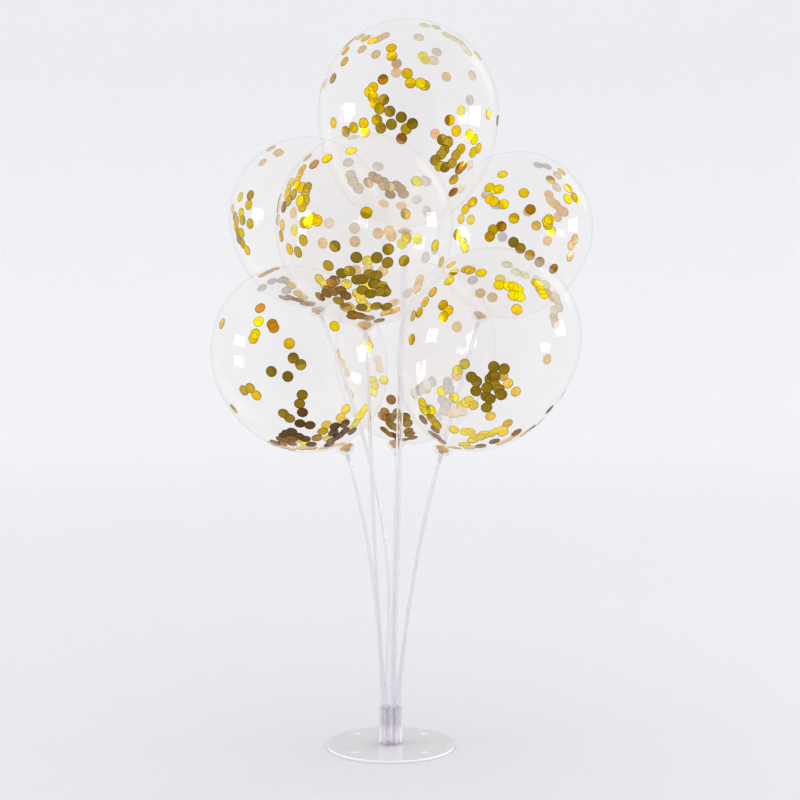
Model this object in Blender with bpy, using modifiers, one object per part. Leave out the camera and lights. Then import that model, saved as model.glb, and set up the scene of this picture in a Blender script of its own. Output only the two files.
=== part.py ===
"""Table stand that carries seven clear confetti balloons, in metres, Z up.

The origin is the centre of the base disc's underside. The front faces -Y, and +X is on the
right of someone who looks at the front. Six thin sticks and one thick pole rise from a cluster
of sockets on the disc. Each ends in a flared cup, and the knot of a balloon sits in the cup.
"""
import math

import bmesh
import bpy
from mathutils import Matrix, Vector

MM = 0.001

# Gap between two pieces that touch
GAP = 0.3 * MM

# Base disc: a thin white plate with four shallow dimples
DISC_RADIUS = 80 * MM
DISC_THICKNESS = 3.0 * MM
DISC_EDGE = 0.8 * MM
DIMPLE_COUNT = 4
DIMPLE_RADIUS = 4.5 * MM
DIMPLE_DEPTH = 0.8 * MM
DIMPLE_FROM_EDGE = 20 * MM

# Tubes
POLE_RADIUS = 4.0 * MM
POLE_WALL = 0.8 * MM
STICK_RADIUS = 2.2 * MM

# Socket cluster: a round foot with a socket for the pole and a ring of six for the sticks
SOCKET_HEIGHT = 43 * MM
SOCKET_WALL = 0.6 * MM
SOCKET_FIT = 0.4 * MM
SOCKET_SPACING = 2.6 * MM
FOOT_HEIGHT = 2.0 * MM
FOOT_LIP = 1.2 * MM
POLE_SOCKET_SHIFT = 0.6 * MM

# Flared cup that holds a knot, with a stem that a stick plugs into
CUP_RIM_RADIUS = 12.5 * MM
CUP_DEPTH = 8.5 * MM
CUP_WALL = 1.0 * MM
CUP_FLOOR = 1.2 * MM
CUP_FLARE = 3.1 * MM
CUP_WEB = 0.6 * MM
STEM_LENGTH = 9.5 * MM
STEM_WALL = 0.6 * MM
RIM_TO_BALLOON = 2.5 * MM

# Balloons: the radius that the whole cluster is spaced by, and the knot below each of them
BALLOON_RADIUS = 104 * MM
CLUSTER_HEIGHT = 600 * MM
NECK_RADIUS = 3.0 * MM
KNOT_RADIUS = 4.0 * MM
KNOT_LENGTH = 7.5 * MM
TIP_TAPER = 0.5
TIP_POWER = 25

# Faces around and along the round pieces
DISC_SIDES = 48
TUBE_SIDES = 12
POLE_SIDES = 16
CUP_SIDES = 14
CUP_RINGS = 3
BALLOON_SIDES = 20
CROWN_RINGS = 6
TAIL_RINGS = 7
STICK_SPANS = 12

# The balloons rest on each other, so each one's middle is given in balloon radii from a point on
# the Z axis at CLUSTER_HEIGHT: right, back and up. Then come its own radius, its crown above the
# middle and its tail below it, as shares of BALLOON_RADIUS, and its lean to the right and back
# in degrees.
BALLOONS = {
    "low_left": ((-1.056, -0.400, -1.086), 0.995, 1.070, 1.149, (-27.4, -2.2)),
    "low_right": ((1.143, -0.814, -0.853), 1.010, 1.037, 1.333, (23.7, -0.7)),
    "low_back": ((0.307, 1.642, -1.070), 1.007, 1.043, 1.312, (12.1, 25.9)),
    "front": ((-0.272, -1.646, 0.427), 0.962, 0.994, 1.130, (0.2, -19.7)),
    "mid_left": ((-1.014, 1.178, 0.508), 0.967, 0.993, 1.126, (-6.5, 16.5)),
    "mid_right": ((1.519, 0.843, 0.377), 0.920, 0.938, 1.143, (24.0, 20.2)),
    "top": ((0.208, -0.036, 1.711), 1.046, 1.077, 1.323, (1.8, 1.4)),
}

# Side sticks: the turn of the socket around the ring, the lean at the socket and how far it
# carries, and the lean at the cup and how far it carries. Leans are to the right and back in
# degrees, and how far a lean carries is a share of CLUSTER_HEIGHT.
STICKS = {
    "low_left": (180, (-1.2, 0.0), 0.188, (-14.7, -1.2), 0.190),
    "front": (240, (-5.9, -0.2), 0.235, (-2.7, -9.3), 0.238),
    "low_right": (300, (7.9, -0.3), 0.242, (16.0, -1.1), 0.168),
    "mid_right": (0, (2.2, 0.0), 0.297, (15.9, 8.5), 0.237),
    "low_back": (60, (-1.5, 0.0), 0.283, (-1.1, 19.8), 0.213),
    "mid_left": (120, (-1.4, 0.0), 0.193, (-21.5, 7.3), 0.515),
}

# Sizes that follow from those above
STICK_SOCKET_RADIUS = STICK_RADIUS + SOCKET_FIT + SOCKET_WALL
POLE_SOCKET_RADIUS = POLE_RADIUS + SOCKET_FIT + SOCKET_WALL
SOCKET_RING = POLE_SOCKET_RADIUS + SOCKET_SPACING + STICK_SOCKET_RADIUS
FOOT_RADIUS = SOCKET_RING + STICK_SOCKET_RADIUS + FOOT_LIP
FOOT_BOTTOM = DISC_THICKNESS + GAP
SOCKET_FLOOR = FOOT_BOTTOM + FOOT_HEIGHT
SOCKET_TOP = SOCKET_FLOOR + SOCKET_HEIGHT
DIMPLE_REACH = DISC_RADIUS - DIMPLE_FROM_EDGE
CUP_LENGTH = STEM_LENGTH + CUP_DEPTH

CLEAR_PLASTIC = (0.86, 0.88, 0.92, 1.0)
WHITE_PLASTIC = (0.84, 0.82, 0.85, 1.0)
BALLOON_FILM = (0.93, 0.91, 0.88, 1.0)


def new_collection(name):
    """Add a collection to the scene."""
    collection = bpy.data.collections.new(name)
    bpy.context.scene.collection.children.link(collection)
    return collection


def plastic(name, colour, roughness):
    """A plain glossy material."""
    material = bpy.data.materials.new(name)
    material.use_nodes = True
    shader = material.node_tree.nodes["Principled BSDF"]
    shader.inputs["Base Color"].default_value = colour
    shader.inputs["Roughness"].default_value = roughness
    shader.inputs["Metallic"].default_value = 0.0
    material.diffuse_color = colour
    return material


def add_object(name, data, collection, material=None):
    """Link an object made from data to a collection."""
    piece = bpy.data.objects.new(name, data)
    collection.objects.link(piece)
    if material:
        data.materials.append(material)
    return piece


def smooth(mesh):
    """Shade the round faces smooth and leave the edges sharp."""
    mesh.shade_smooth()
    mesh.set_sharp_from_angle(angle=math.radians(35))


def leaning(right, back):
    """Unit vector that leans from +Z by two angles in degrees."""
    return Vector((math.tan(math.radians(right)), math.tan(math.radians(back)), 1)).normalized()


def along(direction):
    """Rotation that takes +Z to a direction."""
    return direction.to_track_quat("Z", "Y")


def turned(name, profile, sides, collection, material):
    """Turn a profile of (radius, height) points about Z, from the top down the outer side."""
    mesh = bpy.data.meshes.new(name)
    points = [(radius, 0.0, height) for radius, height in profile]
    mesh.from_pydata(points, [(i, i + 1) for i in range(len(points) - 1)], [])
    piece = add_object(name, mesh, collection, material)
    screw = piece.modifiers.new("Turn", "SCREW")
    screw.steps = sides
    screw.render_steps = sides
    screw.use_merge_vertices = True
    screw.merge_threshold = 0.00001
    screw.use_smooth_shade = True
    piece.rotation_mode = "QUATERNION"
    return piece


def add_cylinder(bm, radius, bottom, top, sides, place):
    """Add a closed upright cylinder to a bmesh and move it by a matrix."""
    middle = Matrix.Translation((0, 0, (bottom + top) / 2))
    bmesh.ops.create_cone(bm, cap_ends=True, segments=sides, radius1=radius, radius2=radius,
                          depth=top - bottom, matrix=place @ middle)


def mesh_object(name, bm, collection, material=None):
    """Turn a bmesh into an object."""
    mesh = bpy.data.meshes.new(name)
    bm.to_mesh(mesh)
    bm.free()
    return add_object(name, mesh, collection, material)


def boolean(piece, other, operation):
    """Cut or join one object with another, which stays as a hidden guide."""
    modifier = piece.modifiers.new(operation.title(), "BOOLEAN")
    modifier.operation = operation
    modifier.solver = "EXACT"
    modifier.object = other
    other.hide_render = True
    other.display_type = "WIRE"


def build_disc(parts, cutters):
    """Round plate with eased edges and dimples set in a square."""
    bm = bmesh.new()
    add_cylinder(bm, DISC_RADIUS, 0, DISC_THICKNESS, DISC_SIDES, Matrix.Identity(4))
    disc = mesh_object("base_disc", bm, parts, plastic("white plastic", WHITE_PLASTIC, 0.15))
    smooth(disc.data)
    bevel = disc.modifiers.new("Edge", "BEVEL")
    bevel.width = DISC_EDGE
    bevel.segments = 1
    bevel.limit_method = "ANGLE"
    dimples = bmesh.new()
    for i in range(DIMPLE_COUNT):
        turn = Matrix.Rotation(2 * math.pi * (i + 0.5) / DIMPLE_COUNT, 4, "Z")
        place = turn @ Matrix.Translation((DIMPLE_REACH, 0, 0))
        add_cylinder(dimples, DIMPLE_RADIUS, DISC_THICKNESS - DIMPLE_DEPTH,
                     DISC_THICKNESS + DIMPLE_DEPTH, TUBE_SIDES, place)
    boolean(disc, mesh_object("dimple_cutters", dimples, cutters), "DIFFERENCE")


def socket_places(pole_lean):
    """Matrix and tube radius for the pole's socket and for each stick's."""
    lean = along(pole_lean).to_matrix().to_4x4()
    yield Matrix.Translation((POLE_SOCKET_SHIFT, 0, 0)) @ lean, POLE_RADIUS
    for turn, *_ in STICKS.values():
        yield Matrix.Translation(ring_point(turn, 0)), STICK_RADIUS


def ring_point(turn, height):
    """Point above the middle of a stick's socket."""
    angle = math.radians(turn)
    return Vector((SOCKET_RING * math.cos(angle), SOCKET_RING * math.sin(angle), height))


def build_hub(parts, cutters, pole_lean):
    """Round foot with seven tubes standing on it."""
    foot = bmesh.new()
    add_cylinder(foot, FOOT_RADIUS, FOOT_BOTTOM, SOCKET_FLOOR, 2 * TUBE_SIDES, Matrix.Identity(4))
    hub = mesh_object("socket_hub", foot, parts, plastic("hub clear plastic", CLEAR_PLASTIC, 0.05))
    walls, bores = bmesh.new(), bmesh.new()
    in_foot = FOOT_BOTTOM + FOOT_HEIGHT / 2
    for place, radius in socket_places(pole_lean):
        bore = radius + SOCKET_FIT
        add_cylinder(walls, bore + SOCKET_WALL, in_foot, SOCKET_TOP, TUBE_SIDES, place)
        add_cylinder(bores, bore, SOCKET_FLOOR, SOCKET_TOP + SOCKET_WALL, TUBE_SIDES, place)
    boolean(hub, mesh_object("socket_walls", walls, cutters), "UNION")
    boolean(hub, mesh_object("socket_bores", bores, cutters), "DIFFERENCE")


def build_pole(parts, base, lean, length):
    """Straight hollow pole."""
    inner = POLE_RADIUS - POLE_WALL
    profile = [(inner, length), (POLE_RADIUS, length), (POLE_RADIUS, 0), (inner, 0), (inner, length)]
    pole = turned("centre_pole", profile, POLE_SIDES, parts,
                  plastic("pole clear plastic", CLEAR_PLASTIC, 0.05))
    pole.location = base
    pole.rotation_quaternion = along(lean)


def bowed(start, start_way, start_carry, end, end_way, end_carry):
    """Points along a bent stick: a cubic whose ends carry on along two directions."""
    near = start + start_way * start_carry * CLUSTER_HEIGHT
    far = end - end_way * end_carry * CLUSTER_HEIGHT
    points = []
    for i in range(STICK_SPANS + 1):
        t = i / STICK_SPANS
        points.append(start * (1 - t) ** 3 + near * 3 * t * (1 - t) ** 2
                      + far * 3 * t ** 2 * (1 - t) + end * t ** 3)
    return points


def build_stick(parts, name, tip):
    """Thin rod from its socket to the stem of its cup, below a balloon's tip."""
    turn, start_lean, start_carry, end_lean, end_carry = STICKS[name]
    end_way = leaning(*end_lean)
    mouth = ring_point(turn, SOCKET_TOP + SOCKET_WALL)
    stem_bottom = tip - end_way * (RIM_TO_BALLOON + CUP_LENGTH)
    route = bowed(mouth, leaning(*start_lean), start_carry, stem_bottom, end_way, end_carry)
    route.insert(0, ring_point(turn, SOCKET_FLOOR + GAP))
    route.append(stem_bottom + end_way * (STEM_LENGTH - CUP_FLOOR - GAP))
    curve = bpy.data.curves.new("stick_" + name, "CURVE")
    curve.dimensions = "3D"
    curve.bevel_depth = STICK_RADIUS
    curve.bevel_resolution = 2
    curve.use_fill_caps = True
    spline = curve.splines.new("POLY")
    spline.points.add(len(route) - 1)
    for point, place in zip(spline.points, route):
        point.co = (*place, 1)
    add_object("stick_" + name, curve, parts,
               plastic("stick clear plastic " + name, CLEAR_PLASTIC, 0.05))


def cup_profile(tube_radius):
    """Inner floor out and up to the rim, down outside, and up into the bore of the stem."""
    bore = tube_radius + SOCKET_FIT
    stem = bore + STEM_WALL
    underside = STEM_LENGTH - CUP_FLOOR
    rings = [i / CUP_RINGS for i in range(CUP_RINGS + 1)]
    bowl = [(stem + CUP_FLARE + (CUP_RIM_RADIUS - stem - CUP_FLARE) * math.sqrt(share),
             STEM_LENGTH + CUP_DEPTH * share) for share in rings]
    inside = [(radius - CUP_WALL, height) for radius, height in bowl]
    outside = bowl[:0:-1]
    below = [(stem + CUP_FLARE, underside), (stem, underside - CUP_WEB), (stem, 0), (bore, 0)]
    return [(0, STEM_LENGTH)] + inside + outside + below + [(bore, underside), (0, underside)]


def build_cup(parts, name, tube_radius, tip, direction):
    """Flared cup whose rim stops just short of a balloon."""
    cup = turned("cup_" + name, cup_profile(tube_radius), CUP_SIDES, parts,
                 plastic("cup clear plastic " + name, CLEAR_PLASTIC, 0.05))
    cup.location = tip - direction * (RIM_TO_BALLOON + CUP_LENGTH)
    cup.rotation_quaternion = along(direction)


def balloon_profile(radius, crown, tail):
    """Half ellipse above the middle, a longer one that tapers below it, then neck and knot."""
    points = []
    for i in range(CROWN_RINGS + 1):
        angle = math.pi / 2 * i / CROWN_RINGS
        points.append((radius * math.sin(angle), crown * math.cos(angle)))
    for i in range(1, TAIL_RINGS):
        angle = math.pi / 2 * i / TAIL_RINGS
        down = math.sin(angle)
        width = radius * math.cos(angle) * (1 - TIP_TAPER * down ** TIP_POWER)
        points.append((width, -tail * down))
    points.append((NECK_RADIUS, -tail))
    points.append((NECK_RADIUS, -tail - KNOT_LENGTH / 3))
    points.append((KNOT_RADIUS, -tail - KNOT_LENGTH / 2))
    points.append((KNOT_RADIUS, -tail - KNOT_LENGTH * 0.85))
    points.append((0, -tail - KNOT_LENGTH))
    return points


def build_balloon(parts, name):
    """Inflated balloon, from which the tip above its knot is returned."""
    offset, radius, crown, tail, lean = BALLOONS[name]
    middle = Vector(offset) * BALLOON_RADIUS + Vector((0, 0, CLUSTER_HEIGHT))
    direction = leaning(*lean)
    profile = balloon_profile(radius * BALLOON_RADIUS, crown * BALLOON_RADIUS, tail * BALLOON_RADIUS)
    balloon = turned("balloon_" + name, profile, BALLOON_SIDES, parts,
                     plastic("balloon film " + name, BALLOON_FILM, 0.1))
    balloon.location = middle
    balloon.rotation_quaternion = along(direction)
    return middle - direction * tail * BALLOON_RADIUS


def build():
    """Make every piece of the stand."""
    for old in list(bpy.data.objects):
        bpy.data.objects.remove(old, do_unlink=True)
    parts = new_collection("confetti_balloon_stand")
    cutters = new_collection("cutters")
    tips = {name: build_balloon(parts, name) for name in BALLOONS}
    pole_base = Vector((POLE_SOCKET_SHIFT, 0, 0))
    pole_way = (tips["top"] - pole_base).normalized()
    build_disc(parts, cutters)
    build_hub(parts, cutters, pole_way)
    pole_length = ((tips["top"] - pole_base).length - RIM_TO_BALLOON - CUP_DEPTH - CUP_FLOOR - GAP
                   - SOCKET_FLOOR - GAP)
    build_pole(parts, pole_base + pole_way * (SOCKET_FLOOR + GAP), pole_way, pole_length)
    build_cup(parts, "top", POLE_RADIUS, tips["top"], pole_way)
    for name, (_, _, _, end_lean, _) in STICKS.items():
        build_stick(parts, name, tips[name])
        build_cup(parts, name, STICK_RADIUS, tips[name], leaning(*end_lean))


build()
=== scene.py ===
# %% [markdown]
# # Seven confetti balloons on a table stand
# Seven clear latex balloons ride on a pole and six bent sticks above a white disc, with gold foil
# dots clinging inside them. The CAD frame fixes where everything is. This lesson dresses it:
# each cell makes one kind of piece, or one finish, and each piece prints its face count as it is made.

# %% Load the fixed frame
import math

import bmesh
import bpy
import numpy as np
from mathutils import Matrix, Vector


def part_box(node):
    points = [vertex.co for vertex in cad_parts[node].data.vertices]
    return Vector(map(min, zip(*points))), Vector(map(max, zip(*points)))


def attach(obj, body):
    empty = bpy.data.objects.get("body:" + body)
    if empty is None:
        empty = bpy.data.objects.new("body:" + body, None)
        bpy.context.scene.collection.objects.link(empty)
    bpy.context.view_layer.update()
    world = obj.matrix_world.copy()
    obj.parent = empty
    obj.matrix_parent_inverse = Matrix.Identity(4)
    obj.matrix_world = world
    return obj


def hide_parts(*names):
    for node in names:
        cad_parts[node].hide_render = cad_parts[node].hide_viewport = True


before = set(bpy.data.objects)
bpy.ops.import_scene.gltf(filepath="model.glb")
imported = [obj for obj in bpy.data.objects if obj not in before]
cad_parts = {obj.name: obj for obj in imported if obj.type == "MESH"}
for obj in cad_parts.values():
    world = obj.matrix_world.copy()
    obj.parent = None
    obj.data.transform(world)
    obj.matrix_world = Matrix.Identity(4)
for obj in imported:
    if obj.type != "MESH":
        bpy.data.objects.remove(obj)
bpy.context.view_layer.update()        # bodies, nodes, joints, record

MM = 0.001

# %% [markdown]
# ## Camera
# The photograph looks straight at the front from a little above the disc, through a long lens.
# A long lens keeps the front and back balloons nearly the same size. Its place and lens were
# worked out from the disc, whose real width is known, and from the slope of its ellipse.

# %% Camera
CAMERA_PLACE = (0.0115, -2.316, 0.646)
CAMERA_PITCH = math.radians(-5.3)
LENS_MM = 85.7
SENSOR_MM = 36.0
SIGHT_END = 50.0

lens = bpy.data.cameras.new("photo_lens")
lens.lens = LENS_MM
lens.sensor_width = SENSOR_MM
lens.clip_end = SIGHT_END
camera = bpy.data.objects.new("photo_camera", lens)
camera.location = CAMERA_PLACE
camera.rotation_euler = (math.pi / 2 + CAMERA_PITCH, 0, 0)
bpy.context.scene.collection.objects.link(camera)
bpy.context.scene.camera = camera
print("camera at", CAMERA_PLACE, "looking", round(math.degrees(CAMERA_PITCH), 1), "degrees down")

# %% [markdown]
# ## Small helpers
# Colours are written as hex values, the way a paint chart gives them, and shaders work in linear
# light, so one function converts them. Patterns are given their real size in millimetres, and a
# noise texture wants how many repeats fit in a metre.

# %% Helpers for materials
def linear(hex_colour):
    """Linear RGBA of an sRGB hex colour: below 0.04045 a straight line, above it a 2.4 power."""
    value = np.array([int(hex_colour[i:i + 2], 16) for i in (1, 3, 5)]) / 255
    curve = ((value + 0.055) / 1.055) ** 2.4
    return (*np.where(value <= 0.04045, value / 12.92, curve).tolist(), 1.0)


def per_metre(size_mm):
    """Scale of a noise whose grains are about size_mm across."""
    return 1000 / size_mm


def add_node(tree, kind, settings=None, values=None, links=None, stops=()):
    """Add a node: its properties, socket values, links, and a ramp's stops, hex or plain grey."""
    node = tree.nodes.new(kind)
    for name, value in (settings or {}).items():
        setattr(node, name, value)
    for socket, value in (values or {}).items():
        node.inputs[socket].default_value = value
    for socket, source in (links or {}).items():
        tree.links.new(source, node.inputs[socket])
    for index, (position, colour) in enumerate(stops):
        elements = node.color_ramp.elements
        element = elements[index] if index < 2 else elements.new(position)
        element.position = position
        element.color = linear(colour) if isinstance(colour, str) else (colour, colour, colour, 1)
    return node


def start_material(name, shader_values):
    """A new material with one Principled shader, whose plain values are given."""
    material = bpy.data.materials.new(name)
    material.use_nodes = True
    tree = material.node_tree
    shader = tree.nodes["Principled BSDF"]
    for socket, value in shader_values.items():
        shader.inputs[socket].default_value = value
    place = add_node(tree, "ShaderNodeTexCoord").outputs["Object"]
    return material, tree, shader, place


# %% [markdown]
# ## Finish: clear latex
# Clear balloons are dipped latex, a tenth of a millimetre thick when blown up. The film shines
# like glass and is faintly milky, so what lies behind it looks paler. A plain alpha gives the
# milk, and a coat gives the crisp window lights. Alpha thins the gloss as well, so the coat bends
# light more than latex does. At a balloon's edge the eye looks through the film along its slope,
# so a thin warm line is seen there. Unstretched latex is amber, so the film is tinted where it
# gathers at the neck, and the knot itself is a deeper amber.

# %% Clear latex
def clear_latex():
    """Milky film with slow thickness waves, amber where the film_gather attribute is one."""
    material, tree, shader, place = start_material("dipped_clear_latex", {
        "Alpha": 0.12, "Roughness": 0.04, "IOR": 1.52, "Specular IOR Level": 1.0,
        "Coat Weight": 1.0, "Coat Roughness": 0.015, "Coat IOR": 2.1,
    })
    waves = add_node(tree, "ShaderNodeTexNoise", values={"Scale": per_metre(45), "Detail": 2.0},
                     links={"Vector": place})
    milk = add_node(tree, "ShaderNodeValToRGB", links={"Fac": waves.outputs["Fac"]},
                    stops=[(0.3, "#DDD3C9"), (0.7, "#E6DFD8")])
    gather = add_node(tree, "ShaderNodeAttribute", {"attribute_name": "film_gather"})
    tinted = add_node(tree, "ShaderNodeMix", {"data_type": "RGBA"}, {"B": linear("#D9B070")},
                      {"Factor": gather.outputs["Fac"], "A": milk.outputs["Color"]})
    slope = add_node(tree, "ShaderNodeLayerWeight", values={"Blend": 0.5})
    line = add_node(tree, "ShaderNodeValToRGB", links={"Fac": slope.outputs["Facing"]},
                    stops=[(0.84, "#FFFFFF"), (0.97, "#5A463A")])
    edged = add_node(tree, "ShaderNodeMix", {"data_type": "RGBA", "blend_type": "MULTIPLY"},
                     {"Factor": 1.0}, {"A": tinted.outputs["Result"], "B": line.outputs["Color"]})
    tree.links.new(edged.outputs["Result"], shader.inputs["Base Color"])
    return material


def amber_latex():
    """Thick gathered latex of the knot, with fine creases."""
    material, tree, shader, place = start_material("gathered_amber_latex", {
        "Alpha": 0.92, "Roughness": 0.28, "IOR": 1.52, "Coat Weight": 0.6, "Coat Roughness": 0.1,
    })
    creases = add_node(tree, "ShaderNodeTexNoise", values={"Scale": per_metre(1.2), "Detail": 3.0},
                       links={"Vector": place})
    amber = add_node(tree, "ShaderNodeValToRGB", links={"Fac": creases.outputs["Fac"]},
                     stops=[(0.3, "#AC7A18"), (0.7, "#ECB840")])
    tree.links.new(amber.outputs["Color"], shader.inputs["Base Color"])
    bump = add_node(tree, "ShaderNodeBump", values={"Strength": 0.5, "Distance": 0.3 * MM},
                    links={"Height": creases.outputs["Fac"]})
    tree.links.new(bump.outputs["Normal"], shader.inputs["Normal"])
    return material


film_finish = clear_latex()
knot_finish = amber_latex()

# %% [markdown]
# ## Finish: clear plastic
# The sticks, the pole and the sockets are clear acrylic. The tubes are extruded, so fine lines run
# along them. The cups and the foot under the sockets are thin moulded webs that barely show, so
# they are faint plain sheets that let what is behind them through, as a solid that bends light
# would darken it.

# %% Clear plastic
def clear_plastic():
    """See-through plastic with faint flow lines along its length."""
    material, tree, shader, place = start_material("clear_acrylic", {
        "Transmission Weight": 1.0, "Roughness": 0.06, "IOR": 1.49,
    })
    stretched = add_node(tree, "ShaderNodeMapping", values={"Scale": (1.0, 1.0, 0.05)},
                         links={"Vector": place})
    lines = add_node(tree, "ShaderNodeTexNoise", values={"Scale": per_metre(1.5), "Detail": 1.0},
                     links={"Vector": stretched.outputs["Vector"]})
    tint = add_node(tree, "ShaderNodeValToRGB", links={"Fac": lines.outputs["Fac"]},
                    stops=[(0.3, "#F6F5F8"), (0.7, "#FBFAFC")])
    tree.links.new(tint.outputs["Color"], shader.inputs["Base Color"])
    return material


clear_finish = clear_plastic()
web_finish = start_material("thin_clear_web", {
    "Base Color": linear("#E4E2E6"), "Alpha": 0.12, "Roughness": 0.05, "Coat Weight": 0.6})[0]

# %% [markdown]
# ## Finish: white plastic
# The disc is glossy white polystyrene from a polished mould. The polish leaves a very low ripple.
# Its eased rim and the slopes of its dimples carry a painted highlight: they are painted a
# lighter white than the face.

# %% White plastic
def white_plastic():
    """Glossy white with a low moulding ripple, and a painted highlight that a per-point attribute
    mixes in.
    """
    material, tree, shader, place = start_material("moulded_white_polystyrene", {
        "Roughness": 0.10, "IOR": 1.59, "Coat Weight": 0.8, "Coat Roughness": 0.03,
    })
    ripple = add_node(tree, "ShaderNodeTexNoise", values={"Scale": per_metre(6), "Detail": 2.0},
                      links={"Vector": place})
    white = add_node(tree, "ShaderNodeValToRGB", links={"Fac": ripple.outputs["Fac"]},
                     stops=[(0.3, "#E0DCE0"), (0.7, "#E8E5E9")])
    # Painted highlight: a per-point attribute lightens the white on the eased rim and dimple walls.
    thin = add_node(tree, "ShaderNodeAttribute", {"attribute_name": "plate_painted_highlight"})
    highlighted_white = add_node(tree, "ShaderNodeMix", {"data_type": "RGBA"}, {"B": linear("#F8F6F8")},
                      {"Factor": thin.outputs["Fac"], "A": white.outputs["Color"]})
    tree.links.new(highlighted_white.outputs["Result"], shader.inputs["Base Color"])
    bump = add_node(tree, "ShaderNodeBump", values={"Strength": 0.05, "Distance": 0.2 * MM},
                    links={"Height": ripple.outputs["Fac"]})
    tree.links.new(bump.outputs["Normal"], shader.inputs["Normal"])
    return material


white_finish = white_plastic()

# %% [markdown]
# ## Finish: foil
# The dots are punched from metallised polyester. One face has gold lacquer over the metal, and
# the other shows the pale film. Each dot carries its own colour as an attribute, and a small tilt
# of its own, which decides what it mirrors. Besides a little random spread, the colour holds
# painted light and shade: bright yellow where the foil would mirror a lamp, and olive, brown or
# umber where it would mirror the dark room. The punch rolls the rim over a little, and painted
# shade, a darker line, runs round each dot.

# %% Foil
RIM_SHADE_STARTS = 0.80


def foil(name, shader_values, rim_shade_colour):
    """Metallised film that takes its colour and tilt from the dot, with painted shade at its rim."""
    material, tree, shader, place = start_material(name, shader_values)
    colour = add_node(tree, "ShaderNodeAttribute", {"attribute_name": "foil_colour"})
    grain = add_node(tree, "ShaderNodeTexNoise",
                     values={"Scale": per_metre(3), "Detail": 2.0}, links={"Vector": place})
    shade = add_node(tree, "ShaderNodeValToRGB", links={"Fac": grain.outputs["Fac"]},
                     stops=[(0.3, "#E2E2E2"), (0.7, "#FFFFFF")])
    tinted = add_node(tree, "ShaderNodeMix", {"data_type": "RGBA", "blend_type": "MULTIPLY"},
                      {"Factor": 1.0}, {"A": colour.outputs["Color"], "B": shade.outputs["Color"]})
    # Painted shade: a darker line along each dot's rim.
    rim = add_node(tree, "ShaderNodeAttribute", {"attribute_name": "foil_rim_shade"})
    line = add_node(tree, "ShaderNodeValToRGB", links={"Fac": rim.outputs["Fac"]},
                    stops=[(RIM_SHADE_STARTS, "#FFFFFF"), (1.0, rim_shade_colour)])
    edged = add_node(tree, "ShaderNodeMix", {"data_type": "RGBA", "blend_type": "MULTIPLY"},
                     {"Factor": 1.0}, {"A": tinted.outputs["Result"], "B": line.outputs["Color"]})
    tree.links.new(edged.outputs["Result"], shader.inputs["Base Color"])
    tilt = add_node(tree, "ShaderNodeAttribute", {"attribute_name": "foil_tilt"})
    bump = add_node(tree, "ShaderNodeBump", values={"Strength": 1.0, "Distance": 1.0},
                    links={"Height": tilt.outputs["Fac"]})
    tree.links.new(bump.outputs["Normal"], shader.inputs["Normal"])
    return material


# The last colour given to each foil is its rim's painted shade.
gold_face = foil("gold_lacquered_foil", {"Metallic": 1.0, "Roughness": 0.16}, "#9A9A9A")
pale_face = foil("pale_foil_back", {"Metallic": 0.1, "Roughness": 0.45}, "#E8E8E8")

# %% [markdown]
# ## Turning shapes into meshes
# Every piece here is round, so each is a grid of points: columns run around it and rows run
# along it. The points come from whole arrays, and index arithmetic joins them into faces. Rows
# that shrink to a point at a pole are merged, so nothing is left open.

# %% Grids and pieces
SHARP_ANGLE = math.radians(40)
SAME_POINT = 1e-7


def grid_faces(rows, columns, wrap_rows):
    """Quads that join each point to its next column, which wraps, and its next row."""
    row = np.arange(rows if wrap_rows else rows - 1)
    i, j = np.meshgrid(row, np.arange(columns), indexing="ij")
    right, up = (j + 1) % columns, (i + 1) % rows
    quads = [i * columns + j, i * columns + right, up * columns + right, up * columns + j]
    return np.stack(quads, -1).reshape(-1, 4)


def joined_mesh(name, grids, wrap_rows):
    """One smooth mesh of all the grids, with points that meet merged."""
    points = np.concatenate([grid.reshape(-1, 3) for grid in grids])
    faces, first = [], 0
    for grid in grids:
        faces.append(grid_faces(*grid.shape[:2], wrap_rows) + first)
        first += grid.shape[0] * grid.shape[1]
    mesh = bpy.data.meshes.new(name)
    mesh.from_pydata(points.tolist(), [], np.concatenate(faces).tolist())
    clean = bmesh.new()
    clean.from_mesh(mesh)
    bmesh.ops.remove_doubles(clean, verts=clean.verts, dist=SAME_POINT)
    clean.to_mesh(mesh)
    clean.free()
    mesh.shade_smooth()
    mesh.set_sharp_from_angle(angle=SHARP_ANGLE)
    return mesh


def make_piece(name, grids, finish, nodes=(), wrap_rows=False):
    """Make the grids one object with a finish, which stands for CAD nodes."""
    mesh = joined_mesh(name, grids, wrap_rows)
    mesh.materials.append(finish)
    return dress(bpy.data.objects.new(name, mesh), nodes)


def dress(piece, nodes=()):
    """Link a piece, let it ride on the frame and hide the CAD nodes that it stands for."""
    bpy.context.scene.collection.objects.link(piece)
    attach(piece, "root")
    if nodes:
        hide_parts(*nodes)
    print(piece.name, len(piece.data.polygons), "faces")
    return piece


def axes_along(direction):
    """Three unit columns whose third is the direction."""
    up = np.asarray(direction, float) / np.linalg.norm(direction)
    right = np.cross([0.0, 1.0, 0.0], up)
    right /= np.linalg.norm(right)
    return np.column_stack([right, np.cross(up, right), up])


def turned(profile, sides, origin=(0, 0, 0), direction=(0, 0, 1)):
    """Turn (radius, height) about an axis: x = r cos t and y = r sin t, then tip and shift."""
    radius, height = np.asarray(profile, float).T
    t = np.linspace(0, 2 * np.pi, sides, endpoint=False)
    x, y = np.outer(radius, np.cos(t)), np.outer(radius, np.sin(t))
    z = np.repeat(height[:, None], sides, 1)
    return np.stack([x, y, z], -1) @ axes_along(direction).T + np.asarray(origin, float)


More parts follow.
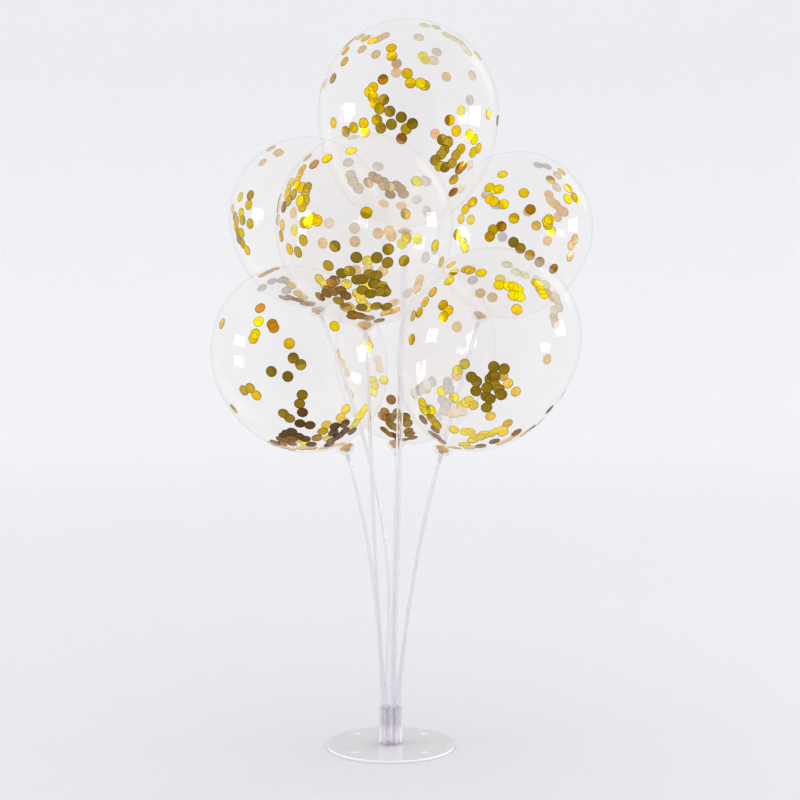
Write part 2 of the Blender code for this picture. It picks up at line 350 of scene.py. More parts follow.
# %% [markdown]
# ## Reading the frame
# Nothing is typed twice where the CAD solid can say it. A balloon's axis runs from the end of its
# knot to the farthest point from it, which is the crown. A tube's middle line is the mean of each
# ring of its points.

# %% Measure the CAD nodes
KNOT_LENGTH = 7.5 * MM
TIP_TAPER = 0.5
TIP_POWER = 25
RING_GAP = 3 * MM
WIDEST_SHARE = 0.9999


def node_points(node):
    """Points of a CAD node as one array, in metres."""
    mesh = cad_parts[node].data
    points = np.empty(len(mesh.vertices) * 3, np.float32)
    mesh.vertices.foreach_get("co", points)
    return np.unique(np.round(points.reshape(-1, 3).astype(float), 6), axis=0)


def farthest(points, place):
    """The point farthest from a place."""
    return points[np.argmax(np.linalg.norm(points - place, axis=1))]


def measure_balloon(name):
    """Middle, axis, widest radius, crown height and tail length of a balloon."""
    points = node_points("balloon_" + name)
    one_end = farthest(points, points.mean(0))
    knot_end, crown_top = sorted([one_end, farthest(points, one_end)], key=lambda end: end[2])
    axis = (crown_top - knot_end) / np.linalg.norm(crown_top - knot_end)
    height = (points - knot_end) @ axis
    reach = np.linalg.norm(points - knot_end - np.outer(height, axis), axis=1)
    widest = height[reach > reach.max() * WIDEST_SHARE].mean()
    return {
        "middle": knot_end + axis * widest, "axis": axis, "radius": reach.max(),
        "crown": height.max() - widest, "tail": widest - KNOT_LENGTH,
    }


def middle_line(node):
    """Middle of each ring of a tube's points, from the bottom up."""
    points = node_points(node)
    points = points[np.argsort(points[:, 2])]
    breaks = np.flatnonzero(np.diff(points[:, 2]) > RING_GAP) + 1
    return np.array([ring.mean(0) for ring in np.split(points, breaks)])


BALLOONS = [node[len("balloon_"):] for node in sorted(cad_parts) if node.startswith("balloon_")]
STICKS = [name for name in BALLOONS if name != "top"]
shapes = {name: measure_balloon(name) for name in BALLOONS}
routes = {name: middle_line("stick_" + name) for name in STICKS}
pole_line = middle_line("centre_pole")
for name, shape in shapes.items():
    print(name, "radius", round(shape["radius"] / MM, 1), "mm")

# %% [markdown]
# ## Balloon films
# A blown balloon is half an ellipse above its widest ring and a longer half ellipse below it that
# draws in to the neck, where small pleats gather. The knot is a bead of wound latex above the
# rolled lip of the balloon's mouth, and its wraps run round it in a slant.

# %% Balloon films
FILM_SIDES = 128
CROWN_ROWS = 44
TAIL_ROWS = 84
NECK_END = 2.4 * MM
PLEATS = 14
PLEAT_DEPTH = 0.10
PLEAT_REACH = 9 * MM
GATHER_REACH = 16 * MM
KNOT_ROWS = 36
KNOT_SIDES = 64
LIP_RADIUS = 3.6 * MM
WAIST_RADIUS = 2.0 * MM
BEAD_RADIUS = 8.0 * MM
LIP_MIDDLE, LIP_SPAN = 0.10, 0.08
BEAD_MIDDLE, BEAD_SPAN = 0.60, 0.30
END_POWER = 24
WRAPS = 5
WRAP_SLANT = 12.0
WRAP_MIDDLE, WRAP_SPAN = 0.58, 0.25
WRAP_DEPTH = 0.045
KNOT_DROP = 2.2 * MM


def tail_width(down):
    """Share of the widest radius at a share of the tail: a half ellipse that tapers at its end."""
    return np.sqrt(np.clip(1 - down ** 2, 0, 1)) * (1 - TIP_TAPER * down ** TIP_POWER)


def film_profile(shape):
    """(radius, height) from the pole inside the neck up to the crown."""
    angle = np.linspace(np.pi / 2, 0, TAIL_ROWS)
    down = np.sin(angle)
    width = np.maximum(shape["radius"] * tail_width(down), NECK_END)
    tail = np.column_stack([width, -shape["tail"] * down])
    angle = np.linspace(0, np.pi / 2, CROWN_ROWS)[1:]
    crown = np.column_stack([shape["radius"] * np.cos(angle), shape["crown"] * np.sin(angle)])
    crown[-1, 0] = 0
    return np.concatenate([[(0, -shape["tail"])], tail, crown])


def build_knot(name):
    """Lip, waist and bead: two round bumps along the knot, with wraps that wind round the bead."""
    shape = shapes[name]
    s = np.linspace(0, 1, KNOT_ROWS)[:, None]
    t = np.linspace(0, 2 * np.pi, KNOT_SIDES, endpoint=False)
    lip = (LIP_RADIUS - WAIST_RADIUS) * np.exp(-((s - LIP_MIDDLE) / LIP_SPAN) ** 2)
    bead = (BEAD_RADIUS - WAIST_RADIUS) * np.exp(-((s - BEAD_MIDDLE) / BEAD_SPAN) ** 4)
    closed = np.sqrt(np.clip(1 - (2 * s - 1) ** END_POWER, 0, 1))
    winding = np.cos(WRAPS * t + WRAP_SLANT * s)
    wound = 1 + WRAP_DEPTH * np.exp(-((s - WRAP_MIDDLE) / WRAP_SPAN) ** 2) * winding
    radius = (WAIST_RADIUS + lip + bead) * closed * wound
    height = np.broadcast_to(-shape["tail"] - (KNOT_LENGTH + KNOT_DROP) * (1 - s), radius.shape)
    grid = np.stack([radius * np.cos(t), radius * np.sin(t), height], -1)
    grid = grid @ axes_along(shape["axis"]).T + shape["middle"]
    make_piece("knot_" + name, [grid], knot_finish)


def build_film(name):
    """Film whose neck is gathered: its radius ripples around, and the ripple fades upwards."""
    shape = shapes[name]
    profile = film_profile(shape)
    t = np.linspace(0, 2 * np.pi, FILM_SIDES, endpoint=False)
    above = np.abs(profile[:, 1] + shape["tail"])
    fade = PLEAT_DEPTH * np.exp(-above / PLEAT_REACH)
    radius = profile[:, :1] * (1 + np.outer(fade, np.cos(PLEATS * t)))
    grid = np.stack([radius * np.cos(t), radius * np.sin(t),
                     np.repeat(profile[:, 1:], FILM_SIDES, 1)], -1)
    grid = grid @ axes_along(shape["axis"]).T + shape["middle"]
    film = make_piece("film_" + name, [grid], film_finish, ["balloon_" + name])
    places = np.empty(len(film.data.vertices) * 3)
    film.data.vertices.foreach_get("co", places)
    above = (places.reshape(-1, 3) - shape["middle"]) @ shape["axis"] + shape["tail"]
    gather = np.exp(-np.abs(above) / GATHER_REACH)
    film.data.attributes.new("film_gather", "FLOAT", "POINT").data.foreach_set("value", gather)


for name in BALLOONS:
    build_film(name)
    build_knot(name)

# %% [markdown]
# ## Foil dots
# Static holds the dots flat against the film. They gather in drifts, so the layout is a list of
# drifts, one to a line. Each names the wall of the balloon that the camera sees it on, a tone, how
# many dots it has, and the line that they follow: places right and up of the balloon's middle as
# the camera sees it, in hundredths of its radius. The tones hold painted light and shade: yellow,
# lemon and cream are painted glints, and olive, brown and umber are painted shade. Dots on the far
# wall keep to the brighter shades, painted light for the pale veil that the film lays over them.

# %% Drifts of dots
DOT_RADIUS = 6.6 * MM
DOT_SIDES = 14
DOT_SCATTER = 0.012
# The far wall's random shades start higher, as painted light for the film's veil.
SHADES = {"near": (0.72, 1.15), "far": (0.9, 1.15)}
GOLD_SHADES = (0.8, 1.1)
PALE_SHADES = (0.85, 1.05)
LAYER = 0.02 * MM
LAYERS = 16
SKIN_OUT = 0.03 * MM
SKIN_IN = 0.13 * MM
TILT = math.radians(9)
FOLD = math.radians(8)
# Painted light and shade sit in these tones: yellow, lemon and cream for foil catching a lamp, olive,
# brown and umber for foil mirroring the dark room.
TONES = {
    "gold": "#F2C40C", "yellow": "#FFDE06", "olive": "#CCA82E", "brown": "#C8944A",
    "umber": "#8C6636", "rust": "#CC8A14", "peach": "#F2B070", "tan": "#F4CC90",
    "beige": "#F6E2C6", "grey": "#DCD6D0", "pale": "#F2EEE6", "cream": "#FFF8C8",
    "lemon": "#FFEC14",
}
GOLD_INSIDE = ("gold", "yellow", "olive", "brown", "rust", "umber")
DRIFTS = {
    "top": """
        near gold 2: -47 82, -40 80
        far tan 3: -36 80, -27 86
        near gold 2: -69 69, -72 59
        far tan 2: -50 71, -35 64
        near gold 2: -19 73, -19 64
        far peach 1: -14 55
        far tan 1: -15 45
        near gold 2: -1 44, 4 33
        near yellow 2: 11 36, 18 29
        near rust 1: -29 37
        near gold 5: -38 29, -42 22, -37 15, -33 5
        near olive 2: -25 14, -21 3
        near gold 3: -60 -16, -37 -7
        near olive 4: -31 -15, -18 -11, -7 -5, 5 -12
        near gold 1: -2 -17
        near olive 1: -68 -21
        near rust 1: -8 -26
        near gold 1: -47 -19
        far lemon 2: 16 64, 19 58
        far beige 2: 31 70, 29 60
        far tan 1: 41 39
        far beige 1: 10 83
        far beige 1: 71 41
        far grey 1: 67 15
        far lemon 1: 58 1
        near gold 2: 89 -3, 97 -8
        near gold 1: -83 39
        near gold 1: -82 -10
        far beige 2: -90 33, -95 28
        far tan 3: -68 74, -52 86
        far cream 2: 18 95, 31 96
        far cream 6: 42 86, 58 77, 75 63
        near gold 2: 46 -10, 53 -20
        near yellow 4: 68 -24, 76 -31, 77 -42, 70 -43
        near gold 1: 57 -39
        far peach 1: 31 -24
        near olive 5: 36 -34, 46 -30, 44 -38, 36 -44
        near olive 5: 31 -52, 39 -60, 49 -54, 52 -47
        near rust 3: 55 -63, 60 -57
        near gold 1: 49 -74
        near rust 1: 50 -89
        far beige 2: 57 -86, 70 -57
        near tan 3: -64 -72, -56 -81
        near tan 4: -43 -76, -39 -70, -28 -74
        near tan 5: -26 -82, -13 -79, -7 -90
        near olive 1: -20 -91
        far tan 2: -27 -99, -8 -101
        far grey 2: 8 -95, 21 -76
        far yellow 1: 9 -74
    """,
    "front": """
        near gold 3: -70 62, -76 50
        near gold 3: -83 47, -75 46, -70 43
        near olive 4: -64 41, -67 31, -70 21
        near olive 1: -80 33
        near gold 3: -83 40, -88 28
        near rust 1: -88 19
        near yellow 1: -74 27
        far tan 1: -79 15
        near gold 4: -68 3, -62 4, -52 6
        near gold 2: -93 0, -92 -14
        far lemon 1: -77 -4
        near olive 1: -69 -17
        near gold 1: -84 -28
        near olive 1: -75 -33
        far beige 3: -95 28, -97 8
        near rust 1: -55 68
        near yellow 1: -39 74
        near yellow 1: -15 81
        far tan 1: -64 75
        far cream 1: -12 96
        far pale 2: -18 70, 15 67
        far beige 3: -18 56, -7 42
        far lemon 1: 59 49
        far grey 2: 70 49, 72 17
        far tan 2: -47 -19, -12 -20
        far tan 2: 15 -10, 28 -8
        far beige 2: -13 -3, -40 4
        far gold 1: 46 11
        near gold 1: 3 13
        near olive 1: -33 -24
        far tan 1: 30 -14
        far lemon 1: 41 -20
        far yellow 1: 47 -15
        far lemon 1: 58 -17
        far grey 2: 67 -35, 79 -25
        near yellow 1: 77 -23
        near olive 2: -9 -37, 14 -36
        near olive 2: 27 -27, 27 -42
        near olive 1: 45 -40
        near olive 1: -41 -44
        far yellow 1: 2 -40
        near olive 2: -26 -55, -17 -53
        near olive 4: -8 -61, 1 -57, 13 -56
        near olive 5: 10 -65, 20 -70, 24 -77
        near olive 1: -2 -72
        near olive 2: 8 -77, 14 -76
        near brown 4: -34 -62, -39 -68, -43 -76
        near brown 3: -36 -74, -30 -72, -21 -79
        near brown 1: -49 -80
        near olive 1: -30 -84
        near brown 1: -20 -90
        near olive 1: -3 -93
        near olive 2: 15 -91, 25 -92
        near rust 4: -17 -102, -11 -98, -2 -103
        near tan 2: 5 -105, 15 -107
        far yellow 6: -7 -76, -3 -84, 4 -90
        far yellow 2: -50 -62, -46 -67
        far yellow 2: -27 -92, -22 -88
        far yellow 2: 10 -68, 0 -66
        far gold 2: 30 -97, 38 -95
        far tan 1: 35 -86
        far tan 3: -10 -50, 20 -50
        far yellow 1: -18 -66
        far grey 1: 47 -75
        far tan 3: 62 -60, 62 -72
        far yellow 1: 86 -41
    """,
    "low_left": """
        near rust 1: -43 56
        near yellow 1: -49 40
        near rust 2: -31 37, -28 34
        near yellow 2: -54 23, -52 27
        near gold 1: -88 38
        near yellow 1: 42 36
        near gold 1: -12 12
        near olive 2: -5 -1, 3 -10
        near olive 2: -32 -18, -14 -22
        near olive 2: -64 -37, -57 -40
        near gold 1: -50 -43
        near gold 1: -74 -59
        near olive 2: 3 -44, 1 -54
        near umber 1: 5 -65
        near umber 2: 1 -76, 13 -79
        near olive 2: -17 -67, -10 -71
        near umber 4: -19 -92, -8 -86, -1 -91
        near rust 3: -20 -96, -8 -95
        near rust 3: -27 -98, -8 -101
        near umber 2: 8 -96, 16 -102
        near gold 1: 27 -85
        near umber 2: 38 -87, 44 -82
        near umber 1: 53 -76
        near umber 2: 54 -85, 62 -86
        near umber 4: 35 -100, 40 -95, 50 -92
        near brown 1: 21 -94
        far yellow 1: 56 -61
        far gold 2: 47 -71, 50 -75
        far yellow 5: 62 -78, 70 -70, 77 -60
        far gold 2: 32 -78, 33 -93
        far yellow 2: 2 -98, 8 -100
        far tan 8: -30 -100, -5 -106, 20 -106, 45 -102
        far grey 2: -41 78, -32 87
        far grey 2: -17 88, -13 79
        far tan 3: -42 94, -28 99
    """,
    "low_right": """
        near yellow 2: -48 65, -41 73
        near yellow 1: -45 83
        near gold 2: -29 78, -24 76
        near yellow 1: -11 73
        far grey 1: -21 67
        far tan 2: -14 52, -1 47
        near yellow 1: 8 59
        far lemon 1: 12 67
        near yellow 3: 20 60, 30 57
        near yellow 2: 26 50, 31 44
        near gold 1: 28 32
        near yellow 4: 50 63, 60 50
        far tan 3: 55 53, 66 47
        far beige 6: 72 47, 76 37, 68 25, 70 18
        far cream 5: 17 82, 35 72, 62 62
        near gold 3: -54 38, -49 32, -54 25
        near gold 3: -88 25, -82 28, -75 38
        near gold 1: -67 50
        far tan 1: -36 14
        near gold 1: -91 -3
        far tan 1: 63 -22
        near olive 2: 2 -29, 15 -33
        near olive 2: -23 -44, -18 -48
        near olive 1: -18 -58
        near olive 5: -2 -47, 6 -41, 2 -50, 7 -57
        near olive 2: -6 -63, -1 -67
        near olive 1: 15 -64
        near olive 1: -5 -78
        near olive 2: -3 -53, 8 -60
        far gold 3: 27 -60, 13 -40
        far gold 1: -2 -87
        far yellow 2: -56 -59, -42 -65
        far yellow 4: -34 -73, -26 -68, -20 -75
        near yellow 5: -78 -72, -74 -82, -68 -78
        near rust 1: -76 -90
        near gold 3: -66 -88, -60 -96
        near brown 1: -62 -102
        far yellow 1: -42 -101
        far yellow 2: -30 -103, -24 -105
        far yellow 6: -18 -109, -5 -106, 5 -103, 12 -100
        far gold 2: 13 -106, 16 -95
        far yellow 3: -28 -115, -10 -113
        near brown 1: 29 -104
        near brown 1: 4 -114
        near brown 1: -12 -120
        far tan 4: 10 -116, 25 -110, 38 -105
        far tan 3: -35 -122, -20 -122
        near tan 3: -66 -105, -57 -114
        far grey 5: -86 -62, -78 -56, -66 -48
        far tan 1: -72 -54
        far grey 3: -50 -49, -47 -56
        far grey 5: -55 -68, -48 -73, -60 -85
        far beige 3: -45 -85, -35 -82
        far tan 1: -40 -41
        far yellow 2: -37 -36, -33 -28
        near tan 1: 63 -80
        near grey 2: 55 -92, 45 -99
        near tan 1: 82 -65
    """,
    "low_back": """
        near rust 1: -33 -72
        near brown 4: -38 -84, -42 -90, -30 -90
        near olive 3: -35 -97, -27 -102
        near rust 4: -45 -103, -35 -108, -25 -109
        near olive 4: -22 -85, -13 -90, -10 -97
        near brown 3: -5 -106, 0 -112, 5 -115
        near brown 2: -18 -116, -4 -120
        near yellow 2: -62 4, -60 -3
        far beige 2: -47 -20, -44 -30
        far yellow 4: -52 -46, -54 -62
        far yellow 1: -42 -43
        far tan 2: -95 -12, -94 -20
        far beige 2: -87 -28, -84 -36
        far tan 2: -86 -53, -80 -60
    """,
    "mid_right": """
        near yellow 1: -18 69
        near yellow 3: -36 53, -22 54
        near gold 2: -34 40, -30 37
        far grey 2: -40 45, -36 48
        far grey 2: -29 32, -24 28
        near yellow 1: -17 34
        near gold 1: 10 49
        near rust 1: 17 27
        far tan 1: 15 22
        near gold 1: -4 17
        near gold 2: -59 36, -66 24
        far grey 1: -63 31
        far yellow 2: -73 13, -63 11
        near rust 1: -20 2
        near gold 2: -33 -2, -36 -9
        far grey 1: -17 -12
        near olive 2: -4 -17, 8 -26
        near gold 1: 18 -35
        near tan 1: 30 -42
        near rust 1: 50 -53
        far gold 1: 26 3
        near yellow 3: 42 13, 42 5
        far yellow 1: 44 -4
        far tan 2: 42 -16, 53 14
        far tan 6: 41 44, 48 33, 57 28, 64 24
        far yellow 1: 46 65
        far beige 2: 54 70, 54 55
        near gold 1: 67 54
        near yellow 1: 69 38
        near gold 2: 75 44, 80 36
        far yellow 1: 62 74
        far grey 2: 28 82, 40 82
        near tan 3: 76 -13, 72 -25, 72 -36
        near olive 1: -78 -8
        far yellow 2: -70 -17, -68 -23
    """,
    "mid_left": """
        near yellow 1: -86 26
        near olive 2: -73 27, -76 17
        near yellow 2: -83 7, -84 -3
        near olive 1: -74 -6
        near gold 4: -92 3, -91 -10, -91 -17
        near yellow 1: -84 -18
        near gold 2: -88 -26, -86 -31
        near gold 1: -79 -42
        far tan 3: -46 86, -37 82
        far tan 1: -56 69
        far tan 1: -95 14
        near brown 4: -34 -103, -24 -100, -10 -104
        near rust 2: -14 -107, -7 -108
        far olive 6: -30 -80, -15 -95, 2 -108, 12 -114
    """,
}

# %% [markdown]
# A dot is placed by looking: a ray from the camera through its spot meets the balloon twice, near
# and far. The balloon is an ellipsoid above its widest ring and a longer one below it, so in a
# space where both are round balls the ray is walked in fine steps, and its first and last steps
# inside are the two meetings.

# %% Place and bend the dots
RAY_SHARES = np.linspace(0.85, 1.15, 1201)
SEED = 7

dice = np.random.default_rng(SEED)
view_right = np.array([1.0, 0.0, 0.0])
view_up = np.array([0.0, -math.sin(CAMERA_PITCH), math.cos(CAMERA_PITCH)])


def read_drifts(text):
    """Wall, tone, count and line of points of each drift, in radii."""
    drifts = []
    for row in text.strip().splitlines():
        head, line = row.split(":")
        wall, tone, count = head.split()
        points = [[int(value) / 100 for value in point.split()] for point in line.split(",")]
        drifts.append((wall, tone, int(count), points))
    return drifts


def spread(line, count):
    """Evenly spaced spots along a line of points, and the one spot of a short line."""
    line = np.array(line)
    if len(line) == 1:
        return np.repeat(line, count, 0)
    run = np.concatenate([[0], np.cumsum(np.linalg.norm(np.diff(line, axis=0), axis=1))])
    at = np.linspace(0, run[-1], count)
    return np.column_stack([np.interp(at, run, line[:, 0]), np.interp(at, run, line[:, 1])])


def round_space(points, shape, axes):
    """Points in the balloon's own axes, divided by its half widths, so that it is a unit ball."""
    own = (points - shape["middle"]) @ axes
    half = np.where(own[..., 2:] > 0, shape["crown"], shape["tail"])
    return own / np.concatenate([np.full_like(own[..., :2], shape["radius"]), half], -1)


def wall_points(points, shape, axes, inset):
    """The nearest wall points: unit ball points stretched back and drawn in by an inset."""
    ball = round_space(points, shape, axes)
    ball /= np.linalg.norm(ball, axis=-1, keepdims=True)
    down = np.clip(-ball[..., 2:], 0, 1)
    width = (shape["radius"] - inset) * np.where(down > 0, 1 - TIP_TAPER * down ** TIP_POWER, 1)
    height = np.where(ball[..., 2:] > 0, shape["crown"], shape["tail"]) - inset
    own = np.concatenate([ball[..., :2] * width, ball[..., 2:] * height], -1)
    return own @ axes.T + shape["middle"]


def seen_on_wall(spot, wall, shape, axes):
    """Where a ray from the camera through a spot beside the middle meets the wall."""
    eye = np.array(CAMERA_PLACE)
    target = shape["middle"] + shape["radius"] * (spot[0] * view_right + spot[1] * view_up)
    ray = eye + RAY_SHARES[:, None] * (target - eye)
    size = np.linalg.norm(round_space(ray, shape, axes), axis=1)
    inside = np.flatnonzero(size < 1)
    if len(inside) == 0:
        return ray[np.argmin(size)]
    return ray[inside[0] if wall == "near" else inside[-1]]


def dot_mesh(centre, order, shape, axes):
    """A thin round dot bent to the wall: two fans of triangles and a rim between them."""
    centre = wall_points(centre, shape, axes, 0.0)
    outward = centre - shape["middle"]
    frame_axes = axes_along(outward)
    t = np.linspace(0, 2 * np.pi, DOT_SIDES, endpoint=False)
    flat = np.column_stack([np.cos(t), np.sin(t)]) * DOT_RADIUS
    rim = centre + flat @ frame_axes[:, :2].T
    lift = LAYER * (order % LAYERS)
    outer = wall_points(np.vstack([centre, rim]), shape, axes, -SKIN_OUT - lift)
    inner = wall_points(np.vstack([centre, rim]), shape, axes, SKIN_IN + lift)
    return np.vstack([outer, inner]), np.vstack([[0, 0], flat, [0, 0], flat])


def dot_faces():
    """Faces of one dot: outer fan, inner fan turned over, and rim quads."""
    i = np.arange(DOT_SIDES)
    j = (i + 1) % DOT_SIDES
    other = DOT_SIDES + 1
    fans = [np.column_stack([0 * i, 1 + i, 1 + j]), np.column_stack([0 * i, 1 + j, 1 + i]) + other]
    rims = np.column_stack([1 + i, 1 + i + other, 1 + j + other, 1 + j])
    return fans, rims


def build_confetti(name):
    """All the dots of one balloon as one object, with a colour and a tilt for each."""
    shape, axes = shapes[name], axes_along(shapes[name]["axis"])
    fans, rims = dot_faces()
    points, faces, kinds, colours, tilts = [], [], [], [], []
    rim = np.tile(np.r_[0.0, np.ones(DOT_SIDES)], 2)
    order = 0
    for wall, tone, count, line in read_drifts(DRIFTS[name]):
        spots = spread(line, count) + dice.normal(0, DOT_SCATTER, (count, 2))
        for spot in spots:
            centre = seen_on_wall(spot, wall, shape, axes)
            dot, flat = dot_mesh(centre, order, shape, axes)
            first = len(points) * len(dot)
            points.append(dot)
            for part in (*fans, rims):
                faces += (part + first).tolist()
            gold_inside = wall == "far" and tone in GOLD_INSIDE
            kinds += [0] * DOT_SIDES + [0 if gold_inside else 1] * DOT_SIDES + [0] * DOT_SIDES
            # The drift's tone carries painted light and shade, times a random shade of the dot's own.
            seen = np.array(linear(TONES[tone])[:3]) * dice.uniform(*SHADES[wall])
            gold = np.array(linear(TONES["gold"])[:3]) * dice.uniform(*GOLD_SHADES)
            pale = np.array(linear(TONES["beige"])[:3]) * dice.uniform(*PALE_SHADES)
            outer, inner = (seen, pale) if wall == "near" else (gold, seen)
            colours.append(np.repeat(np.clip([outer, inner], 0, 1), DOT_SIDES + 1, 0))
            turn, crease = dice.uniform(0, 2 * np.pi, 2)
            slope, fold = dice.normal(0, math.tan(TILT)), dice.normal(0, math.tan(FOLD))
            along = flat @ [math.cos(turn), math.sin(turn)]
            across = np.abs(flat @ [math.cos(crease), math.sin(crease)])
            tilts.append(slope * along + fold * across)
            order += 1
    mesh = bpy.data.meshes.new("confetti_" + name)
    mesh.from_pydata(np.concatenate(points).tolist(), [], faces)
    rgba = np.column_stack([np.concatenate(colours), np.ones(len(mesh.vertices))])
    mesh.attributes.new("foil_colour", "FLOAT_COLOR", "POINT").data.foreach_set("color", rgba.ravel())
    mesh.attributes.new("foil_tilt", "FLOAT", "POINT").data.foreach_set("value", np.concatenate(tilts))
    # The rim share drives the painted shade round each dot's edge.
    mesh.attributes.new("foil_rim_shade", "FLOAT", "POINT").data.foreach_set("value", np.tile(rim, order))
    mesh.polygons.foreach_set("material_index", kinds)
    mesh.shade_smooth()
    mesh.set_sharp_from_angle(angle=SHARP_ANGLE)
    mesh.materials.append(gold_face)
    mesh.materials.append(pale_face)
    dress(bpy.data.objects.new("confetti_" + name, mesh))
    return order


dot_count = sum(build_confetti(name) for name in BALLOONS)
print(dot_count, "dots in all")

# %% [markdown]
# ## Pole and sticks
# Each is a clear tube, so its mesh is one wall: rows go up the outside and come back down the
# bore. The sticks bend, and a smooth curve runs through the middle points of the CAD rings.

# %% Tubes
POLE_RADIUS = 4.0 * MM
POLE_WALL = 0.8 * MM
STICK_RADIUS = 2.2 * MM
STICK_WALL = 0.5 * MM
TUBE_SIDES = 40
POLE_ROWS = 24
ROWS_PER_SPAN = 6


def smooth_route(points, per_span):
    """A curve through the points: between two it blends their slopes, which join neighbours."""
    slopes = np.gradient(points, axis=0)
    t = np.linspace(0, 1, per_span, endpoint=False)[None, :, None]
    p, q, u, v = points[:-1, None], points[1:, None], slopes[:-1, None], slopes[1:, None]
    curve = (p * (2 * t ** 3 - 3 * t ** 2 + 1) + u * (t ** 3 - 2 * t ** 2 + t)
             + q * (3 * t ** 2 - 2 * t ** 3) + v * (t ** 3 - t ** 2))
    return np.concatenate([curve.reshape(-1, 3), points[-1:]])


def swept(route, radius, sides):
    """Circles along a route: each is square to the route, and its radius is given per point."""
    ahead = np.gradient(route, axis=0)
    ahead /= np.linalg.norm(ahead, axis=1, keepdims=True)
    side = np.cross([0.0, 1.0, 0.0], ahead)
    side /= np.linalg.norm(side, axis=1, keepdims=True)
    other = np.cross(ahead, side)
    t = np.linspace(0, 2 * np.pi, sides, endpoint=False)[None, :, None]
    circle = side[:, None] * np.cos(t) + other[:, None] * np.sin(t)
    return route[:, None] + np.asarray(radius).reshape(-1, 1, 1) * circle


def tube(route, outer, wall):
    """Wall of a tube: the outside from the bottom up, then the bore from the top down."""
    outside = swept(route, np.full(len(route), outer), TUBE_SIDES)
    bore = swept(route, np.full(len(route), outer - wall), TUBE_SIDES)
    return np.concatenate([outside, bore[::-1]])


pole_route = np.linspace(pole_line[0], pole_line[-1], POLE_ROWS)
make_piece("pole_tube", [tube(pole_route, POLE_RADIUS, POLE_WALL)], clear_finish,
           ["centre_pole"], wrap_rows=True)
for name in STICKS:
    bent = tube(smooth_route(routes[name], ROWS_PER_SPAN), STICK_RADIUS, STICK_WALL)
    make_piece("stick_tube_" + name, [bent], clear_finish, ["stick_" + name],
               wrap_rows=True)

# %% [markdown]
# ## Cups
# A cup is one turned wall: the bowl flares fast and then slowly, its lip is rounded, and a stem
# below it takes the end of the tube.

# %% Cups
SOCKET_FIT = 0.4 * MM
CUP_RIM_RADIUS = 12.5 * MM
CUP_DEPTH = 8.5 * MM
CUP_WALL = 1.0 * MM
CUP_FLOOR = 1.2 * MM
CUP_FLARE = 3.1 * MM
CUP_WEB = 0.6 * MM
STEM_LENGTH = 9.5 * MM
STEM_WALL = 0.6 * MM
RIM_TO_BALLOON = 2.5 * MM
BOWL_ROWS = 14
LIP_ROWS = 5
CUP_SIDES = 64


def cup_profile(tube_radius):
    """(radius, height) from the bore's end down, up outside, over the lip and in to the floor."""
    bore = tube_radius + SOCKET_FIT
    stem = bore + STEM_WALL
    underside = STEM_LENGTH - CUP_FLOOR
    share = np.linspace(0, 1, BOWL_ROWS)
    radius = stem + CUP_FLARE + (CUP_RIM_RADIUS - stem - CUP_FLARE) * np.sqrt(share)
    height = STEM_LENGTH + CUP_DEPTH * share
    turn = np.linspace(0, np.pi, LIP_ROWS + 2)[1:-1]
    lip = np.column_stack([radius[-1] - CUP_WALL / 2 * (1 - np.cos(turn)),
                           height[-1] + CUP_WALL / 4 * np.sin(turn)])
    outside = np.column_stack([radius, height])
    inside = np.column_stack([radius - CUP_WALL, height])[::-1]
    below = [(0, underside), (bore, underside), (bore, 0), (stem, 0), (stem, underside - CUP_WEB),
             (stem + CUP_FLARE, underside)]
    return np.concatenate([below, outside, lip, inside, [(0, STEM_LENGTH)]])


def build_cup(name, tube_radius, direction):
    """Cup under a balloon's tip, in line with the tube below it."""
    direction = direction / np.linalg.norm(direction)
    shape = shapes[name]
    tip = shape["middle"] - shape["axis"] * shape["tail"]
    foot = tip - direction * (RIM_TO_BALLOON + CUP_DEPTH + STEM_LENGTH)
    grid = turned(cup_profile(tube_radius), CUP_SIDES, foot, direction)
    make_piece("cup_shell_" + name, [grid], web_finish, ["cup_" + name])


build_cup("top", POLE_RADIUS, pole_line[-1] - pole_line[0])
for name in STICKS:
    build_cup(name, STICK_RADIUS, routes[name][-1] - routes[name][-2])

# %% [markdown]
# ## Socket cluster
# One clear moulding: a low round foot that thins out to its edge, and seven tubes that stand on
# it. The pole's socket leans with the pole.

# %% Sockets
SOCKET_WALL = 0.6 * MM
FOOT_HEIGHT = 2.0 * MM
FOOT_ROWS = 9
SOCKET_SIDES = 48

hub_low, hub_high = (np.array(corner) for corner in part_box("socket_hub"))
foot_radius = (hub_high[0] - hub_low[0]) / 2
foot_top = hub_low[2] + FOOT_HEIGHT
socket_top = hub_high[2]


def socket_wall(bottom, direction, tube_radius):
    """Wall of one socket, from inside the foot up to its rim and back down its bore."""
    direction = direction / np.linalg.norm(direction)
    length = (socket_top - foot_top) / direction[2]
    bore = tube_radius + SOCKET_FIT
    outer = bore + SOCKET_WALL
    profile = [(outer, -FOOT_HEIGHT / 2), (outer, length), (bore, length), (bore, -FOOT_HEIGHT / 2)]
    return turned(profile, SOCKET_SIDES, bottom, direction)


out = np.linspace(1, 0, FOOT_ROWS)
foot_dome = np.column_stack([foot_radius * out, FOOT_HEIGHT * (1 - out ** 3)])
foot = turned(np.vstack([[0, 0], foot_dome]), SOCKET_SIDES, (0, 0, hub_low[2]))
sockets = [socket_wall(pole_line[0], pole_line[-1] - pole_line[0], POLE_RADIUS)]
sockets += [socket_wall(routes[name][0], np.array([0, 0, 1.0]), STICK_RADIUS) for name in STICKS]
make_piece("socket_cluster", sockets, clear_finish, ["socket_hub"],
           wrap_rows=True)
make_piece("socket_foot", [foot], web_finish)

# %% [markdown]
# ## Disc
# A thin round plate whose edge is eased, with four shallow dimples. Its grid is polar, and its
# lines crowd together around the dimples so that their walls stay crisp.

